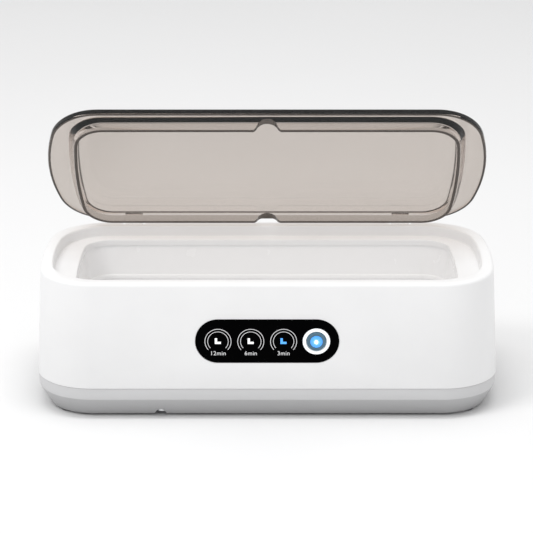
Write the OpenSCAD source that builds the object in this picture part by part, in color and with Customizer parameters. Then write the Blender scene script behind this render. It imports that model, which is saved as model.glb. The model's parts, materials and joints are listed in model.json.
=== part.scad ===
// Small bench-top ultrasonic cleaner for jewellery, with a hinged see-through lid.
// Origin: centre of the standing plane. +X is the user's right, -Y is the front, +Z is up.

/* [Body] */
// Width of the casing at its widest line
body_w = 205; // [190:1:230]
// Depth of the casing at its widest line
body_d = 92; // [88:1:110]
// Height of the rim above the standing plane
body_h = 62; // [60:1:70]
// Width of the casing at the rim
rim_w = 199.5; // [185:0.5:225]
// Depth of the casing at the rim
rim_d = 90; // [86:0.5:108]
// Radius of the four upright corners
corner_r = 25.5; // [20:0.5:30]
// Radius of the slightly bulged ends
end_bulge = 210; // [150:5:400]
// Wall thickness of the casing
wall = 2.4; // [2:0.1:2.6]
// Height of the soft bevel round the top edge
top_bevel = 0.9; // [0.5:0.1:1.5]

/* [Base] */
// Height of the joint between casing and base
joint_z = 14.4; // [13:0.1:16]
// Height of the crease between the upright band and the bottom chamfer
crease_z = 9.2; // [8:0.1:10]
// How far the crease stands inside the widest line
crease_inset = 0.5; // [0.3:0.1:2]
// How far the bottom edge stands inside the widest line
bottom_inset = 4.9; // [4:0.1:6]
// Thickness of the base floor
floor_t = 2.2; // [1.8:0.1:2.4]
// How far the rubber feet stand out below the base
foot_drop = 1; // [0.8:0.1:1.5]

/* [Recess and tank] */
// Width of the recess that the lid's lip drops into
recess_w = 189; // [180:0.5:190]
// Depth of that recess from front to back
recess_d = 78; // [76:0.5:80]
// Height of the recess walls
recess_drop = 4.9; // [4:0.1:5.5]
// Thickness of the ledge round the tank
ledge_t = 2; // [1.6:0.1:2.4]
// Width of the tank's mouth
tank_w = 167.5; // [150:0.5:170]
// Depth of the tank's mouth from front to back
tank_d = 65.6; // [60:0.2:67]
// Corner radius of the tank's mouth
tank_r = 12.4; // [8:0.2:14]
// Depth of the tank below the ledge
tank_drop = 35; // [25:1:36]
// How far the tank's walls lean in towards its floor
tank_lean = 3.8; // [2:0.1:5]
// Thickness of the tank's sheet
tank_t = 0.8; // [0.6:0.1:1]

/* [Lid] */
// Width of the lid plate
lid_w = 196; // [190:0.5:198]
// Depth of the lid plate
lid_d = 81; // [79:0.2:82]
// Thickness of the lid plate
lid_t = 3; // [2.5:0.1:4]
// Gap between the closed plate and the rim
lid_gap = 0.6; // [0.3:0.1:1]
// Width of the lip at its root
lip_w = 176.4; // [170:0.2:180]
// Depth of the lip at its root
lip_d = 77; // [74:0.2:77.2]
// Angle that the lid stands open at rest
lid_open = 51; // [0:1:95]

/* [Hinge] */
// Distance of the hinge axis behind the middle
hinge_y = 43.3; // [43:0.1:43.6]
// Height of the hinge axis
hinge_z = 59.4; // [58.8:0.1:59.4]
// Distance of each hinge knuckle from the middle
hinge_x = 62; // [40:1:66]
// Width of each hinge knuckle
knuckle_w = 8; // [6:0.5:10]
// Radius of the hinge pins
pin_r = 0.75; // [0.6:0.05:0.9]

/* [Panel] */
// Width of the black panel
panel_w = 61.5; // [58:0.5:64]
// Height of the black panel
panel_h = 19.4; // [18:0.2:20]
// Height of the middle of the panel
panel_z = 36.3; // [34:0.1:38]
// Distance between neighbouring dials and the button
dial_pitch = 14.05; // [13.5:0.05:14.5]
// Outer radius of the ring round the button
ring_r = 5.9; // [5.5:0.1:6]
// Radius of the button
button_r = 4.15; // [4:0.05:4.2]
// Travel of the button
button_travel = 0.5; // [0.3:0.1:0.6]

/* [Electronics] */
// Width of the driver board
board_w = 116; // [100:1:120]
// Depth of the driver board
board_d = 50; // [45:1:52]
// Underside of the driver board above the standing plane
board_z = 6.8; // [6:0.1:8]
// Radius of the piezo disc
disc_r = 22.5; // [18:0.5:24]
// Distance of the power inlet from the middle
jack_x = 60; // [50:1:70]
// Height of the power inlet
jack_z = 24; // [22:0.5:26]

/* [Hidden] */
$fn = 48;
tiny = 0.01;
running = 0.06;                          // radial clearance of the hinge pins in the lid
floor_top = foot_drop + floor_t;
ledge_z = body_h - recess_drop;          // top of the ledge
ledge_under = ledge_z - ledge_t;
recess_r = 23;
recess_bulge = 160;
lean = (body_d - rim_d) / 2 / (body_h - joint_z);   // how fast the front wall leans in
front_y = -(body_d / 2 - lean * (panel_z - joint_z)); // outside of the front wall at the panel
rear_y = body_d / 2 - lean * (jack_z - joint_z);

gasket_t = 0.8;
tank_bulge = 400;
flange = 3;                              // width of the tank's turned-out flange
flange_top = ledge_under - gasket_t;
tank_floor = ledge_z - tank_drop;
tank_fit = 0.4;                          // the tank's mouth hides this far under the ledge

lid_z = body_h + lid_gap;                // underside of the closed lid plate
lid_r = 22;
lid_bulge = 95;
lip_r = 16;
lip_bulge = 246;
lip_h = lid_z - ledge_z - 0.1;
lip_lean = 2.6;                          // how far the outside of the lip leans in
lip_root = 4.2;
lip_edge = 1.5;
notch_r = 5.2;
knuckle_r = 1.9;
knuckle_gap = 0.3;
pin_len = 20;

panel_proud = 0.35;
panel_t = 1.4;
panel_gap = 0.2;                         // gap between the panel's edge and its pocket
tape_t = 0.2;
ring_hole_r = ring_r + 0.15;
panel_face = front_y - panel_proud;
pocket_y = panel_face + panel_t + tape_t;
inner_y = front_y + wall;                // inside of the front wall at the panel
shroud_t = 4.5;
pcb_y = inner_y + shroud_t;              // front face of the display board
pcb_t = 1.2;
pcb_w = 70;
pcb_h = 18;
pcb_screw_x = 32.5;
pcb_screw_r = 1;
pcb_boss_r = 2.4;
window_r = 5.6;
button_x = 1.5 * dial_pitch;
dial_x = [-1.5 * dial_pitch, -0.5 * dial_pitch, 0.5 * dial_pitch];
button_face = panel_face - 0.6;
button_lens_r = 2.66;
switch_front = pcb_y - 1.6;
plunger_r = 1.1;
plunger_front = switch_front - button_travel - 0.4;

clip_spots = [[-60, -39.6], [60, -39.6], [-60, 39.6], [60, 39.6], [-91.4, 0], [91.4, 0]];
clip_z = flange_top - tank_t;            // underside of the tank's flange
clip_t = 1.2;
clip_boss_r = 2.3;
clip_screw_r = 1.05;
corner_spots = [[-87, -32], [87, -32], [-87, 32], [87, 32]];
front_spot = [-46, -39.2];               // fifth base screw, near the front edge
boss_r = 2.8;
boss_z = 6.7;
screw_r = 1.3;
screw_head_r = 2.4;
sunk = 0.5;                              // how far bosses run into the wall they stand on
slip = 0.05;                             // radial gap round screws and threads
foot_r = 4.2;
foot_t = 1.8;
tongue_h = 2;

board_x = -8;
board_y = 3;
board_t = 1.6;
board_top = board_z + board_t;
board_screw_r = 1;
board_spots = [for (sx = [-1, 1], sy = [-1, 1])
    [board_x + sx * (board_w / 2 - 4), board_y + sy * (board_d / 2 - 4)]];
bond_t = 0.3;
disc_t = 2.8;
tank_under = tank_floor - tank_t;
disc_under = tank_under - bond_t - disc_t;

jack_thread_r = 4;
jack_flange_r = 5.6;
jack_seat_r = 6.2;
jack_nut_t = 2;
jack_bore_r = 2.75;
jack_bore_h = 8.5;
jack_pin_r = 1;
jack_depth = 10.5;
jack_seat = rear_y - 0.8;                // flat seat for the inlet's flange
jack_in = jack_seat - jack_depth;

lead_r = 0.6;
header_h = 4;
lead_sides = 8;
red_lead = [[10, -8, 17.3], [10, -8, 16], [14, -12, 13.5],
    [20, -16, 13.5], [24, -18, 13.4], [26, -18, 12.6]];
black_lead = [[6, -14, 17.3], [6, -14, 16], [10, -18, 13.6],
    [16, -19.8, 13], [22, -20.5, 13.2], [26, -20.6, 12.6]];
plus_lead = [[61.8, 31.6, 24], [61.8, 31.4, 21], [61.5, 32, 16],
    [57, 28, 12], [50, 24, 13], [43.5, 24, 12.6]];
minus_lead = [[58.2, 31.6, 24], [58.2, 31.4, 21], [57.5, 31.8, 17],
    [54, 27, 15], [49, 21.5, 15.4], [43.5, 21.5, 12.6]];

// ---- outlines ----

function arc(cx, cy, r, a0, a1, n) =
    [for (i = [0:n]) [cx + r * cos(a0 + (a1 - a0) * i / n), cy + r * sin(a0 + (a1 - a0) * i / n)]];

// One quarter of an outline: a bulged end of radius bulge that runs into a corner of radius r.
function quarter(w, d, r, bulge) =
    let (ex = w / 2 - bulge,
         cy = d / 2 - r,
         cx = ex + sqrt(pow(bulge - r, 2) - pow(cy, 2)),
         a = atan2(cy, cx - ex))
    concat(arc(ex, 0, bulge, 0, a, 3), skip_first(arc(cx, cy, r, a, 90, 8)));

function skip_first(list) = [for (i = [1:len(list) - 1]) list[i]];

function backwards(list) = [for (i = [len(list) - 1:-1:0]) list[i]];

// A whole outline, moved in by inset all round. Every outline has the same number of points.
function outline(w, d, r, bulge, inset = 0) =
    let (q = quarter(w - 2 * inset, d - 2 * inset, r - inset, bulge - inset),
         half = concat(q, [for (p = backwards(q)) [-p[0], p[1]]]),
         rest = [for (p = skip_first(backwards(half))) [p[0], -p[1]]])
    concat(half, [for (i = [0:len(rest) - 2]) rest[i]]);

function ring(z, flat) = [for (p = flat) [p[0], p[1], z]];

// Solid skinned over a stack of rings that runs up the outside and back down the inside.
// A looped stack is a tube with no end faces.
module loft(rings, looped = false) {
    n = len(rings[0]);
    last = len(rings) - 1;
    points = [for (r = rings) for (p = r) p];
    walls = [for (i = [0:last - (looped ? 0 : 1)], k = [0:n - 1])
        let (a = i * n, b = ((i + 1) % (last + 1)) * n, m = (k + 1) % n)
        each [[a + k, b + k, b + m], [a + k, b + m, a + m]]];
    ends = looped ? [] : [[for (k = [0:n - 1]) k], [for (k = [n - 1:-1:0]) last * n + k]];
    polyhedron(points, concat(walls, ends), convexity = 8);
}

// Straight-walled block with the tank's outline.
module slab(z, h, inset) {
    translate([0, 0, z])
        linear_extrude(h)
            polygon(tank_outline(inset));
}

// Outline of the casing's outside at a given height.
function body_ring(z, inset = 0) =
    let (t = max(0, (z - joint_z) / (body_h - joint_z)),
         w = body_w + t * (rim_w - body_w),
         d = body_d + t * (rim_d - body_d))
    ring(z, outline(w, d, corner_r, end_bulge, inset));

function base_ring(z, inset) = ring(z, outline(body_w, body_d, corner_r, end_bulge, inset));

function tank_outline(inset) = outline(tank_w, tank_d, tank_r, tank_bulge, inset);

module at(spots, z) {
    for (p = spots)
        translate([p[0], p[1], z])
            children();
}

// Cylinder along +Y from y0 to y1.
module y_rod(x, z, r, y0, y1) {
    translate([x, y0, z])
        rotate([-90, 0, 0])
            cylinder(h = y1 - y0, r = r);
}

// Stadium-shaped plate standing upright, from y0 to y1.
module stadium(w, h, y0, y1) {
    r = h / 2;
    translate([0, y1, panel_z])
        rotate([90, 0, 0])
            linear_extrude(y1 - y0)
                union() {
                    square([w - h, h], center = true);
                    for (s = [-1, 1])
                        translate([s * (w / 2 - r), 0])
                            circle(r);
                }
}

// Screw that points up: head below z, shank above it.
module screw(z, shank, head_r, head_h, r) {
    translate([0, 0, z - head_h])
        difference() {
            cylinder(h = head_h, r = head_r);
            translate([0, 0, -tiny])
                for (a = [0, 90])
                    rotate(a)
                        translate([-head_r * 0.6, -0.3, 0])
                            cube([head_r * 1.2, 0.6, head_h * 0.5]);
        }
    translate([0, 0, z])
        cylinder(h = shank, r = r);
}

// ---- swept leads ----

function curve_point(p, i, t) =
    let (a = p[max(i - 1, 0)], b = p[i], c = p[i + 1], d = p[min(i + 2, len(p) - 1)])
    0.5 * (2 * b + (c - a) * t + (2 * a - 5 * b + 4 * c - d) * t * t + (3 * b - 3 * c + d - a) * t * t * t);

function smooth_route(p, n) =
    concat([for (i = [0:len(p) - 2], k = [0:n - 1]) curve_point(p, i, k / n)], [p[len(p) - 1]]);

function unit(v) = v / norm(v);

module lead(points, r) {
    path = smooth_route(points, 3);
    last = len(path) - 1;
    rings = [for (i = [0:last])
        let (dir = unit(path[min(i + 1, last)] - path[max(i - 1, 0)]),
             side = unit(cross(dir, [0.31, 0.17, 0.94])), up = cross(side, dir))
        for (k = [0:lead_sides - 1])
            path[i] + r * (cos(360 * k / lead_sides) * side + sin(360 * k / lead_sides) * up)];
    walls = [for (i = [0:last - 1], k = [0:lead_sides - 1])
        let (a = i * lead_sides, b = a + lead_sides, m = (k + 1) % lead_sides)
        [a + k, a + m, b + m, b + k]];
    start_cap = [for (k = [lead_sides - 1:-1:0]) k];
    end_cap = [for (k = [0:lead_sides - 1]) last * lead_sides + k];
    polyhedron(rings, concat(walls, [start_cap], [end_cap]), convexity = 4);
}

// ---- casing ----

module upper_housing() {
    color("white")
        difference() {
            union() {
                housing_skin();
                at(corner_spots, boss_z)
                    cylinder(h = ledge_under + sunk - boss_z, r = boss_r);
                at([front_spot], boss_z)
                    cylinder(h = 14, r = boss_r);
                front_boss_web();
                at(clip_spots, clip_z)
                    cylinder(h = ledge_under + sunk - clip_z, r = clip_boss_r);
                for (s = [-1, 1])
                    y_rod(s * pcb_screw_x, panel_z, pcb_boss_r, inner_y - 1, pcb_y);
            }
            at(corner_spots, boss_z - 1)
                cylinder(h = 17, r = screw_r + slip);
            at([front_spot], boss_z - 1)
                cylinder(h = 11, r = screw_r + slip);
            at(clip_spots, clip_z - 1)
                cylinder(h = 2.2 + gasket_t, r = clip_screw_r + slip);
            for (s = [-1, 1])
                y_rod(s * pcb_screw_x, panel_z, pcb_screw_r + 0.1, inner_y + 0.4, pcb_y + 1);
            stadium(panel_w + 2 * panel_gap, panel_h + 2 * panel_gap, panel_face - 2, pocket_y);
            for (x = dial_x)
                y_rod(x, panel_z, window_r, pocket_y - 1, inner_y + 2);
            y_rod(button_x, panel_z, ring_hole_r, pocket_y - 1, inner_y + 2);
            y_rod(jack_x, jack_z, jack_seat_r, jack_seat, rear_y + 2);
            y_rod(jack_x, jack_z, jack_thread_r + slip, rear_y - wall - 2, rear_y + 2);
            for (s = [-1, 1]) {
                hinge_pocket(s);
                translate([s * hinge_x - pin_len / 2, hinge_y, hinge_z])
                    rotate([0, 90, 0])
                        cylinder(h = pin_len, r = pin_r);
            }
        }
}

// Outside wall, rim, recess wall, ledge and inside wall as one closed loop.
module housing_skin() {
    loft([
        body_ring(joint_z),
        body_ring(body_h - top_bevel),
        body_ring(body_h - top_bevel * 0.3, top_bevel * 0.25),
        body_ring(body_h, top_bevel * 0.8),
        ring(body_h, outline(recess_w, recess_d, recess_r, recess_bulge)),
        ring(ledge_z, outline(recess_w, recess_d, recess_r, recess_bulge, 0.2)),
        ring(ledge_z, tank_outline(0)),
        ring(ledge_under, tank_outline(0)),
        body_ring(ledge_under, wall),
        body_ring(joint_z, wall)
    ], looped = true);
}

// Rib that ties the front screw boss to the front wall.
module front_boss_web() {
    translate([front_spot[0] - 0.8, -(body_d / 2 - 0.8 - wall / 2), joint_z + 2.5])
        cube([1.6, 4, 3]);
}

module hinge_pocket(s) {
    w = knuckle_w + 2.4;
    translate([s * hinge_x - w / 2, hinge_y - knuckle_r - knuckle_gap, hinge_z - knuckle_r - knuckle_gap])
        cube([w, 10, 10]);
}

module base_shell() {
    post_h = boss_z - floor_top + sunk - 0.1;
    color("silver")
        difference() {
            union() {
                base_skin();
                at(corner_spots, floor_top - sunk)
                    cylinder(h = post_h, r = 4.6);
                translate([front_spot[0] - 4.5, front_spot[1] - 2.3, floor_top - sunk])
                    cube([9, 7.5, post_h]);
                at(board_spots, floor_top - sunk)
                    cylinder(h = board_z - floor_top + sunk, r = 2.6);
            }
            at(corner_spots, foot_drop - 1)
                cylinder(h = foot_t + 0.1, r = foot_r + 0.1);
            at(corner_spots, foot_drop - 1)
                cylinder(h = 4, r = screw_head_r + 0.3);
            at(corner_spots, 0)
                cylinder(h = 12, r = screw_r + 0.25);
            at([front_spot], 0)
                cylinder(h = 4, r = screw_head_r + 0.4);
            at([front_spot], 0)
                cylinder(h = 12, r = screw_r + 0.25);
            at(board_spots, floor_top)
                cylinder(h = 6, r = board_screw_r + slip);
        }
}

// Chamfered outside, tongue that enters the casing, inside wall and floor.
module base_skin() {
    tongue = wall + 0.2;
    inside = wall + 1.4;
    loft([
        base_ring(foot_drop, bottom_inset),
        base_ring(crease_z, crease_inset),
        base_ring(joint_z, 0.2),
        base_ring(joint_z, tongue),
        base_ring(joint_z + tongue_h, tongue),
        base_ring(joint_z + tongue_h, inside),
        base_ring(crease_z, inside),
        base_ring(floor_top, bottom_inset + 2)
    ]);
}

module foot(x, y) {
    color("dimgray")
        translate([x, y, 0])
            difference() {
                union() {
                    cylinder(h = foot_t - 0.5, r1 = foot_r - 0.5, r2 = foot_r);
                    translate([0, 0, foot_t - 0.5 - tiny])
                        cylinder(h = 0.5, r = foot_r);
                }
                translate([0, 0, -tiny])
                    cylinder(h = 0.3, r = 1.6);
            }
}

module base_screws() {
    color("gainsboro") {
        at(corner_spots, 3.7)
            screw(0, 14.5, screw_head_r, 1.6, screw_r);
        at([front_spot], 4)
            screw(0, 11, screw_head_r, 1.6, screw_r);
    }
}

// ---- tank and transducer ----

// Outline of the tank's inside at a given height, moved in by extra.
function tank_ring(z, extra) =
    ring(z, tank_outline(extra - tank_fit + tank_lean * (flange_top - z) / (flange_top - tank_floor)));

// Pressed pan: outside, turned-out flange, inside and floor, with a rounded floor edge.
module tank() {
    color("gainsboro")
        loft([
            tank_ring(tank_under, 2.6 - tank_t),
            tank_ring(tank_under + 0.9, 0.8 - tank_t),
            tank_ring(tank_under + 3, -tank_t),
            tank_ring(clip_z, -tank_t),
            tank_ring(clip_z, -tank_t - flange),
            tank_ring(flange_top, -tank_t - flange),
            tank_ring(flange_top, 0),
            tank_ring(tank_floor + 2.6, 0),
            tank_ring(tank_floor + 0.8, 0.7),
            tank_ring(tank_floor, 2.4)
        ]);
}

module tank_gasket() {
    color("whitesmoke")
        difference() {
            slab(flange_top + tiny, gasket_t - 2 * tiny, -tank_fit - tank_t - flange);
            slab(flange_top - 1, gasket_t + 2, -tank_fit - 0.2);
        }
}

module tank_clips() {
    color("silver")
        for (p = clip_spots)
            translate([p[0], p[1], clip_z - clip_t])
                rotate(abs(p[1]) < 1 ? (p[0] > 0 ? 180 : 0) : (p[1] > 0 ? -90 : 90))
                    difference() {
                        union() {
                            translate([0, -3, 0])
                                cube([5.6, 6, clip_t - tiny]);
                            cylinder(h = clip_t - tiny, r = 3);
                        }
                        translate([0, 0, -1])
                            cylinder(h = 4, r = 1.2);
                    }
}

module tank_clip_screws() {
    color("gainsboro")
        at(clip_spots, clip_z - clip_t)
            screw(0, 3, 2.1, 1.3, clip_screw_r);
}

module transducer_bond() {
    color("burlywood")
        translate([0, 0, tank_under - bond_t])
            cylinder(h = bond_t, r = disc_r + 0.6, $fn = 96);
}

module transducer_disc() {
    color("tan")
        translate([0, 0, disc_under]) {
            cylinder(h = disc_t, r = disc_r, $fn = 96);
            for (p = [red_lead[0], black_lead[0]])
                translate([p[0], p[1], -0.5])
                    cylinder(h = 0.5, r1 = 0.9, r2 = 1.6);
        }
}

module transducer_lead_red() {
    color("firebrick")
        lead(red_lead, lead_r);
}

module transducer_lead_black() {
    color("dimgray")
        lead(black_lead, lead_r);
}

// ---- driver electronics ----

module driver_board() {
    color("seagreen")
        difference() {
            translate([board_x - board_w / 2, board_y - board_d / 2, board_z])
                cube([board_w, board_d, board_t]);
            at(board_spots, board_z - 1)
                cylinder(h = 4, r = 1.4);
        }
}

module board_screws() {
    color("gainsboro")
        at(board_spots, board_top)
            rotate([180, 0, 0])
                screw(0, 4.2, 2.2, 1.4, board_screw_r);
}

module heat_sink() {
    fins = 6;
    fin_pitch = 4.4;
    fin_d = 7;
    h = 9;
    color("slategray")
        translate([-58, -6, board_top]) {
            cube([24, 3, h]);
            for (i = [0:fins - 1])
                translate([i * fin_pitch, -fin_d, 0])
                    cube([1.2, fin_d + tiny, h]);
        }
}

module power_transistors() {
    color("dimgray")
        for (x = [-56, -45])
            translate([x, -2.95, board_top + 0.2]) {
                cube([9, 3.6, 8.6]);
                for (i = [0:2])
                    translate([1.9 + i * 2.2, 3.5, 0])
                        cube([0.8, 1.4, 0.8]);
            }
}

module transformer_core() {
    color("gray")
        translate([32, 6, board_top])
            difference() {
                translate([-10, -8, 0])
                    cube([20, 16, 9.6]);
                for (s = [-1, 1])
                    translate([s * 5.2 - 2.2, -9, 1.8])
                        cube([4.4, 18, 6]);
            }
}

module transformer_winding() {
    color("goldenrod")
        translate([32, 6, board_top + 1.9])
            difference() {
                translate([-7.3, -9.4, 0])
                    cube([14.6, 18.8, 5.8]);
                translate([-3.1, -10, -1])
                    cube([6.2, 20, 8]);
            }
}

module ring_choke() {
    color("peru")
        translate([-40, 16, board_top + 0.2]) {
            rotate_extrude()
                translate([4, 0])
                    square([4, 5.6]);
            for (a = [0:30:330])
                rotate(a)
                    translate([3.4, -0.7, 0])
                        cube([5.2, 1.4, 6.2]);
        }
}

module film_capacitors() {
    color("indianred")
        for (p = [[-22, 18], [-22, 10], [10, 17]])
            translate([p[0], p[1], board_top])
                cube([13, 5, 8.6]);
}

module electrolytic_capacitor() {
    color("midnightblue")
        translate([-66, 16.4, board_top + 4.6])
            rotate([0, 90, 0])
                difference() {
                    cylinder(h = 13, r = 4.4);
                    translate([0, 0, 1.6])
                        rotate_extrude()
                            translate([4.1, 0])
                                square([1, 0.8]);
                }
}

module controller_chip() {
    pin_pitch = 1.27;
    color("dimgray")
        translate([-6, -12, board_top]) {
            translate([0, 0, 0.2])
                cube([10, 4, 1.5]);
            for (i = [0:7], y = [-1, 4])
                translate([0.3 + i * pin_pitch, y, 0])
                    cube([0.45, 1 + tiny, 0.9]);
        }
}

// Plug-in headers: transducer, power and ribbon cable.
module board_connectors() {
    color("ivory")
        for (p = [[26, -22, 6, 6], [37.5, 20, 6, 6], [-6, -21.5, 12, 4]])
            translate([p[0], p[1], board_top])
                difference() {
                    cube([p[2], p[3], header_h]);
                    translate([0.8, 0.8, 1])
                        cube([p[2] - 1.6, p[3] - 1.6, header_h]);
                }
}

module power_lead_plus() {
    color("firebrick")
        lead(plus_lead, lead_r);
}

module power_lead_minus() {
    color("dimgray")
        lead(minus_lead, lead_r);
}

// Flat cable from the display board down to the driver board, as one bent strip.
module ribbon_cable() {
    t = 0.6;
    bend_r = 3;
    top_z = 31;
    end_y = -20.2;
    run_z = board_top + header_h + 0.1;
    bend_z = run_z + bend_r;
    end_z = board_top + 1.4;
    start_y = pcb_y + pcb_t + 0.1;
    color("lightgray")
        translate([-5, 0, 0])
            rotate([90, 0, 90])
                linear_extrude(10)
                    union() {
                        translate([start_y, bend_z])
                            square([t, top_z - bend_z]);
                        translate([start_y + bend_r, bend_z])
                            intersection() {
                                difference() {
                                    circle(bend_r);
                                    circle(bend_r - t);
                                }
                                translate([-bend_r, -bend_r])
                                    square(bend_r);
                            }
                        translate([start_y + bend_r, run_z])
                            square([end_y - start_y - bend_r, t]);
                        translate([end_y, end_z])
                            square([t, run_z + t - end_z]);
                    }
}

// ---- display ----

module display_board() {
    color("seagreen")
        difference() {
            translate([-pcb_w / 2, pcb_y, panel_z - pcb_h / 2])
                cube([pcb_w, pcb_t, pcb_h]);
            for (s = [-1, 1])
                y_rod(s * pcb_screw_x, panel_z, pcb_screw_r + 0.3, pcb_y - 1, pcb_y + 3);
        }
}

module display_board_screws() {
    color("gainsboro")
        for (s = [-1, 1]) {
            y_rod(s * pcb_screw_x, panel_z, 2, pcb_y + pcb_t, pcb_y + pcb_t + 1.2);
            y_rod(s * pcb_screw_x, panel_z, pcb_screw_r, pcb_y - 3.6, pcb_y + pcb_t + tiny);
        }
}

module led(x, z, w, h) {
    translate([x - w / 2, pcb_y - h, z - 0.8])
        cube([w, h, 1.6]);
}

module dial_leds() {
    color("ghostwhite")
        for (x = dial_x)
            led(x, panel_z, 2.8, 1.6);
}

module button_leds() {
    color("lightskyblue")
        for (s = [-1, 1])
            led(button_x, panel_z + s * 6, 1.6, 0.8);
}

module light_shroud() {
    color("dimgray")
        difference() {
            stadium(58, 17.4, inner_y + 0.25, pcb_y);
            for (x = dial_x)
                y_rod(x, panel_z, window_r, inner_y - 1, pcb_y + 1);
            y_rod(button_x, panel_z, 7.1, inner_y - 1, pcb_y + 1);
        }
}

module dial_diffusers() {
    color("whitesmoke")
        for (x = dial_x)
            y_rod(x, panel_z, window_r - 0.1, pocket_y + 0.05, pocket_y + 1);
}

module panel_tape() {
    color("gray")
        difference() {
            stadium(panel_w - 0.6, panel_h - 0.6, pocket_y - tape_t, pocket_y);
            for (x = dial_x)
                y_rod(x, panel_z, window_r, pocket_y - 2, pocket_y + 2);
            y_rod(button_x, panel_z, ring_hole_r, pocket_y - 2, pocket_y + 2);
        }
}

module panel_lens() {
    color("black")
        difference() {
            stadium(panel_w, panel_h, panel_face, panel_face + panel_t);
            y_rod(button_x, panel_z, ring_r + 0.1, panel_face - 1, panel_face + 4);
        }
}

module button_ring() {
    color("white")
        difference() {
            y_rod(button_x, panel_z, ring_r, panel_face - 0.2, inner_y + 1.4);
            y_rod(button_x, panel_z, button_r + 0.25, panel_face - 2, inner_y + 3);
        }
}

module button_cap() {
    skirt_end = pcb_y - 2.2;
    color("steelblue")
        difference() {
            union() {
                y_rod(button_x, panel_z, button_r, button_face, skirt_end);
                y_rod(button_x, panel_z, 4.9, skirt_end - tiny, skirt_end + 0.5);
            }
            difference() {
                y_rod(button_x, panel_z, 3.5, button_face + 2, pcb_y);
                y_rod(button_x, panel_z, plunger_r + 0.1, button_face + 1, plunger_front);
            }
            y_rod(button_x, panel_z, button_lens_r + 0.05, button_face - 1, button_face + 1);
        }
}

module button_lens() {
    color("deepskyblue")
        y_rod(button_x, panel_z, button_lens_r, button_face - 0.15, button_face + 1);
}

module tact_switch() {
    switch_w = 4.5;
    color("silver")
        difference() {
            translate([button_x - switch_w / 2, switch_front, panel_z - switch_w / 2])
                cube([switch_w, pcb_y - switch_front, switch_w]);
            y_rod(button_x, panel_z, plunger_r + 0.1, switch_front - 1, pcb_y - 0.2);
        }
}

module switch_plunger() {
    color("ivory")
        y_rod(button_x, panel_z, plunger_r, plunger_front, pcb_y - 0.3 - button_travel);
}

// ---- lid and hinge ----

// Moves closed lid geometry to the angle it stands at.
module opened() {
    translate([0, hinge_y, hinge_z])
        rotate([-lid_open, 0, 0])
            translate([0, -hinge_y, -hinge_z])
                children();
}

function lid_ring(z, inset) = ring(z, outline(lid_w, lid_d, lid_r, lid_bulge, inset));

function lip_ring(z, inset) = ring(z, outline(lip_w, lip_d, lip_r, lip_bulge, inset));

// Plate with a rounded edge, and the tapered lip that stands down from it.
module lid_skin() {
    loft([
        lip_ring(lid_z, lip_root),
        lip_ring(lid_z - lip_h, lip_lean + lip_edge),
        lip_ring(lid_z - lip_h, lip_lean),
        lip_ring(lid_z, 0),
        lid_ring(lid_z, 0.3),
        lid_ring(lid_z + 0.3, 0),
        lid_ring(lid_z + lid_t - 0.9, 0),
        lid_ring(lid_z + lid_t - 0.25, 0.3),
        lid_ring(lid_z + lid_t, 1)
    ]);
}

module lid() {
    color("rosybrown", 0.6)
        opened()
            difference() {
                union() {
                    lid_skin();
                    for (s = [-1, 1])
                        hinge_lug(s);
                }
                y_rod(0, lid_z - lip_h - 0.5, notch_r, -lip_d, lip_d);
                for (s = [-1, 1])
                    translate([s * hinge_x - knuckle_w, hinge_y, hinge_z])
                        rotate([0, 90, 0])
                            cylinder(h = 2 * knuckle_w, r = pin_r + running);
            }
}

// Arm from the plate's rear edge down to the hinge pin.
module hinge_lug(s) {
    arm_r = 1.2;
    arm_y = lid_d / 2 - 2;
    translate([s * hinge_x - knuckle_w / 2, 0, 0])
        rotate([90, 0, 90])
            linear_extrude(knuckle_w)
                union() {
                    hull() {
                        translate([hinge_y, hinge_z])
                            circle(knuckle_r);
                        translate([hinge_y - 0.6, lid_z + arm_r])
                            circle(arm_r);
                    }
                    translate([arm_y, lid_z + 0.4])
                        square([hinge_y - 0.6 - arm_y, 2]);
                }
}

module hinge_pin(s) {
    color("silver")
        translate([s * hinge_x - pin_len / 2 + 0.1, hinge_y, hinge_z])
            rotate([0, 90, 0])
                cylinder(h = pin_len - 0.2, r = pin_r);
}

module hinge_friction_washers() {
    color("goldenrod")
        for (s = [-1, 1], e = [-1, 1])
            translate([s * hinge_x + e * (knuckle_w / 2 + 0.7) - 0.4, hinge_y, hinge_z])
                rotate([0, 90, 0])
                    difference() {
                        cylinder(h = 0.8, r = 1.7);
                        translate([0, 0, -1])
                            cylinder(h = 3, r = pin_r + 0.05);
                    }
}

// ---- power inlet ----

module dc_jack() {
    color("dimgray")
        difference() {
            union() {
                y_rod(jack_x, jack_z, jack_thread_r, jack_in, jack_seat);
                y_rod(jack_x, jack_z, jack_flange_r, jack_seat, jack_seat + 1.4);
                for (s = [-1, 1])
                    translate([jack_x + s * 1.8 - 0.6, jack_in - 2, jack_z - 0.4])
                        cube([1.2, 2.2, 0.8]);
            }
            y_rod(jack_x, jack_z, jack_bore_r, jack_seat - jack_bore_h, jack_seat + 3);
        }
}

module dc_jack_pin() {
    color("gold")
        y_rod(jack_x, jack_z, jack_pin_r, jack_seat - jack_bore_h, jack_seat + 0.3);
}

module dc_jack_nut() {
    nut_y = rear_y - wall - 0.4;
    color("silver")
        difference() {
            translate([jack_x, nut_y - jack_nut_t, jack_z])
                rotate([-90, 30, 0])
                    cylinder(h = jack_nut_t, r = 6.2, $fn = 6);
            y_rod(jack_x, jack_z, jack_thread_r + slip, nut_y - jack_nut_t - 1, nut_y + 1);
        }
}

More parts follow.
